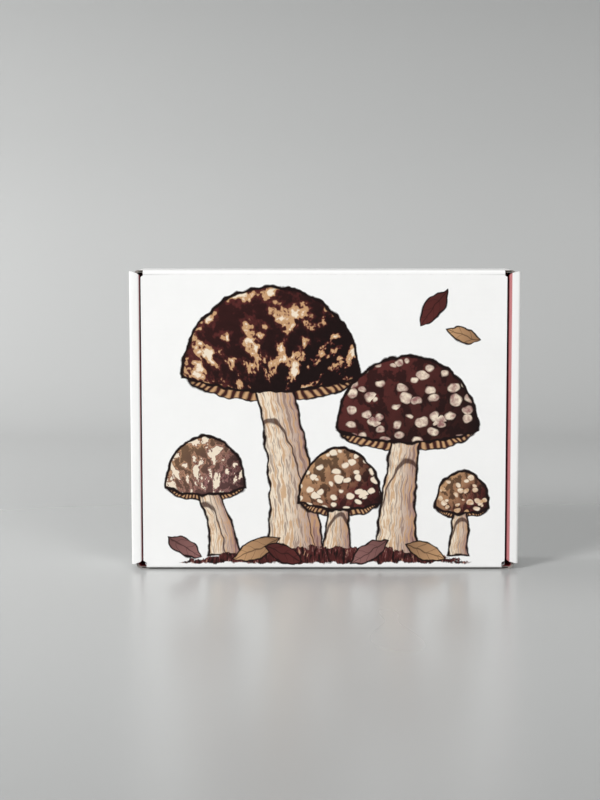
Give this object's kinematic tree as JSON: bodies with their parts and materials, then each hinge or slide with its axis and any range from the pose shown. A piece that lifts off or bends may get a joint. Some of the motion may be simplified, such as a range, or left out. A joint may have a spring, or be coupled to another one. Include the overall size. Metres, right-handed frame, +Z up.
{
  "type": "boxed jigsaw puzzle",
  "caption": "White corrugated mailer box with rolled side walls, a hinged tuck-in lid and a red inside, standing on its front edge, holding an assembled jigsaw puzzle whose pieces lift out.",
  "frame": {"origin": "middle of the footprint, on the surface that the front wall stands on", "axes": "+X to the viewer's right along the box's width, +Y from the lid to the base, +Z up from the front wall to the hinge"},
  "size_m": [0.26, 0.046, 0.201],
  "materials": {
    "white_board": "white printed E-flute board with a satin surface, red on its inner face",
    "red_lined_board": "E-flute board printed red on the face that lines the box",
    "puzzle_card": "dense greyboard with a printed, satin picture face"
  },
  "bodies": {
    "box": {"base_panel": "white_board", "front_wall": "white_board", "rear_wall": "white_board", "left_outer_wall": "white_board", "right_outer_wall": "white_board", "left_roll_strip": "white_board", "right_roll_strip": "white_board", "left_inner_wall": "red_lined_board", "right_inner_wall": "red_lined_board", "front_left_corner_flap": "white_board", "front_right_corner_flap": "white_board", "rear_left_corner_flap": "white_board", "rear_right_corner_flap": "white_board"},
    "lid": {"lid_panel": "white_board"},
    "tuck_flap": {"tuck_flap": "white_board"},
    "left_ear": {"tuck_left_ear": "white_board"},
    "right_ear": {"tuck_right_ear": "white_board"},
    "puzzle_1_1": {"piece_row1_column1": "puzzle_card"},
    "puzzle_1_2": {"piece_row1_column2": "puzzle_card"},
    "puzzle_1_3": {"piece_row1_column3": "puzzle_card"},
    "puzzle_1_4": {"piece_row1_column4": "puzzle_card"},
    "puzzle_1_5": {"piece_row1_column5": "puzzle_card"},
    "puzzle_1_6": {"piece_row1_column6": "puzzle_card"},
    "puzzle_2_1": {"piece_row2_column1": "puzzle_card"},
    "puzzle_2_2": {"piece_row2_column2": "puzzle_card"},
    "puzzle_2_3": {"piece_row2_column3": "puzzle_card"},
    "puzzle_2_4": {"piece_row2_column4": "puzzle_card"},
    "puzzle_2_5": {"piece_row2_column5": "puzzle_card"},
    "puzzle_2_6": {"piece_row2_column6": "puzzle_card"},
    "puzzle_3_1": {"piece_row3_column1": "puzzle_card"},
    "puzzle_3_2": {"piece_row3_column2": "puzzle_card"},
    "puzzle_3_3": {"piece_row3_column3": "puzzle_card"},
    "puzzle_3_4": {"piece_row3_column4": "puzzle_card"},
    "puzzle_3_5": {"piece_row3_column5": "puzzle_card"},
    "puzzle_3_6": {"piece_row3_column6": "puzzle_card"},
    "puzzle_4_1": {"piece_row4_column1": "puzzle_card"},
    "puzzle_4_2": {"piece_row4_column2": "puzzle_card"},
    "puzzle_4_3": {"piece_row4_column3": "puzzle_card"},
    "puzzle_4_4": {"piece_row4_column4": "puzzle_card"},
    "puzzle_4_5": {"piece_row4_column5": "puzzle_card"},
    "puzzle_4_6": {"piece_row4_column6": "puzzle_card"},
    "puzzle_5_1": {"piece_row5_column1": "puzzle_card"},
    "puzzle_5_2": {"piece_row5_column2": "puzzle_card"},
    "puzzle_5_3": {"piece_row5_column3": "puzzle_card"},
    "puzzle_5_4": {"piece_row5_column4": "puzzle_card"},
    "puzzle_5_5": {"piece_row5_column5": "puzzle_card"},
    "puzzle_5_6": {"piece_row5_column6": "puzzle_card"}
  },
  "joints": [
    {"name": "lid_hinge", "type": "hinge", "parent": "box", "child": "lid", "pos_m": [0, -0.023, 0.201], "axis": [-1, 0, 0], "range_deg": [0, 180]},
    {"name": "tuck_flap_fold", "type": "hinge", "parent": "lid", "child": "tuck_flap", "pos_m": [0, -0.0214, 0.00369], "axis": [1, 0, 0], "range_deg": [0, 12]},
    {"name": "left_ear_fold", "type": "hinge", "parent": "tuck_flap", "child": "left_ear", "pos_m": [-0.1196, -0.0214, 0.00369], "axis": [0, 0.9945, 0.1045], "range_deg": [0, 75]},
    {"name": "right_ear_fold", "type": "hinge", "parent": "tuck_flap", "child": "right_ear", "pos_m": [0.1196, -0.0214, 0.00369], "axis": [0, -0.9945, -0.1045], "range_deg": [0, 75]},
    {"name": "lift_1_1", "type": "slide", "parent": "box", "child": "puzzle_1_1", "axis": [0, -1, 0], "range_m": [0, 0.008]},
    {"name": "lift_1_2", "type": "slide", "parent": "box", "child": "puzzle_1_2", "axis": [0, -1, 0], "range_m": [0, 0.008]},
    {"name": "lift_1_3", "type": "slide", "parent": "box", "child": "puzzle_1_3", "axis": [0, -1, 0], "range_m": [0, 0.008]},
    {"name": "lift_1_4", "type": "slide", "parent": "box", "child": "puzzle_1_4", "axis": [0, -1, 0], "range_m": [0, 0.008]},
    {"name": "lift_1_5", "type": "slide", "parent": "box", "child": "puzzle_1_5", "axis": [0, -1, 0], "range_m": [0, 0.008]},
    {"name": "lift_1_6", "type": "slide", "parent": "box", "child": "puzzle_1_6", "axis": [0, -1, 0], "range_m": [0, 0.008]},
    {"name": "lift_2_1", "type": "slide", "parent": "box", "child": "puzzle_2_1", "axis": [0, -1, 0], "range_m": [0, 0.008]},
    {"name": "lift_2_2", "type": "slide", "parent": "box", "child": "puzzle_2_2", "axis": [0, -1, 0], "range_m": [0, 0.008]},
    {"name": "lift_2_3", "type": "slide", "parent": "box", "child": "puzzle_2_3", "axis": [0, -1, 0], "range_m": [0, 0.008]},
    {"name": "lift_2_4", "type": "slide", "parent": "box", "child": "puzzle_2_4", "axis": [0, -1, 0], "range_m": [0, 0.008]},
    {"name": "lift_2_5", "type": "slide", "parent": "box", "child": "puzzle_2_5", "axis": [0, -1, 0], "range_m": [0, 0.008]},
    {"name": "lift_2_6", "type": "slide", "parent": "box", "child": "puzzle_2_6", "axis": [0, -1, 0], "range_m": [0, 0.008]},
    {"name": "lift_3_1", "type": "slide", "parent": "box", "child": "puzzle_3_1", "axis": [0, -1, 0], "range_m": [0, 0.008]},
    {"name": "lift_3_2", "type": "slide", "parent": "box", "child": "puzzle_3_2", "axis": [0, -1, 0], "range_m": [0, 0.008]},
    {"name": "lift_3_3", "type": "slide", "parent": "box", "child": "puzzle_3_3", "axis": [0, -1, 0], "range_m": [0, 0.008]},
    {"name": "lift_3_4", "type": "slide", "parent": "box", "child": "puzzle_3_4", "axis": [0, -1, 0], "range_m": [0, 0.008]},
    {"name": "lift_3_5", "type": "slide", "parent": "box", "child": "puzzle_3_5", "axis": [0, -1, 0], "range_m": [0, 0.008]},
    {"name": "lift_3_6", "type": "slide", "parent": "box", "child": "puzzle_3_6", "axis": [0, -1, 0], "range_m": [0, 0.008]},
    {"name": "lift_4_1", "type": "slide", "parent": "box", "child": "puzzle_4_1", "axis": [0, -1, 0], "range_m": [0, 0.008]},
    {"name": "lift_4_2", "type": "slide", "parent": "box", "child": "puzzle_4_2", "axis": [0, -1, 0], "range_m": [0, 0.008]},
    {"name": "lift_4_3", "type": "slide", "parent": "box", "child": "puzzle_4_3", "axis": [0, -1, 0], "range_m": [0, 0.008]},
    {"name": "lift_4_4", "type": "slide", "parent": "box", "child": "puzzle_4_4", "axis": [0, -1, 0], "range_m": [0, 0.008]},
    {"name": "lift_4_5", "type": "slide", "parent": "box", "child": "puzzle_4_5", "axis": [0, -1, 0], "range_m": [0, 0.008]},
    {"name": "lift_4_6", "type": "slide", "parent": "box", "child": "puzzle_4_6", "axis": [0, -1, 0], "range_m": [0, 0.008]},
    {"name": "lift_5_1", "type": "slide", "parent": "box", "child": "puzzle_5_1", "axis": [0, -1, 0], "range_m": [0, 0.008]},
    {"name": "lift_5_2", "type": "slide", "parent": "box", "child": "puzzle_5_2", "axis": [0, -1, 0], "range_m": [0, 0.008]},
    {"name": "lift_5_3", "type": "slide", "parent": "box", "child": "puzzle_5_3", "axis": [0, -1, 0], "range_m": [0, 0.008]},
    {"name": "lift_5_4", "type": "slide", "parent": "box", "child": "puzzle_5_4", "axis": [0, -1, 0], "range_m": [0, 0.008]},
    {"name": "lift_5_5", "type": "slide", "parent": "box", "child": "puzzle_5_5", "axis": [0, -1, 0], "range_m": [0, 0.008]},
    {"name": "lift_5_6", "type": "slide", "parent": "box", "child": "puzzle_5_6", "axis": [0, -1, 0], "range_m": [0, 0.008]}
  ]
}
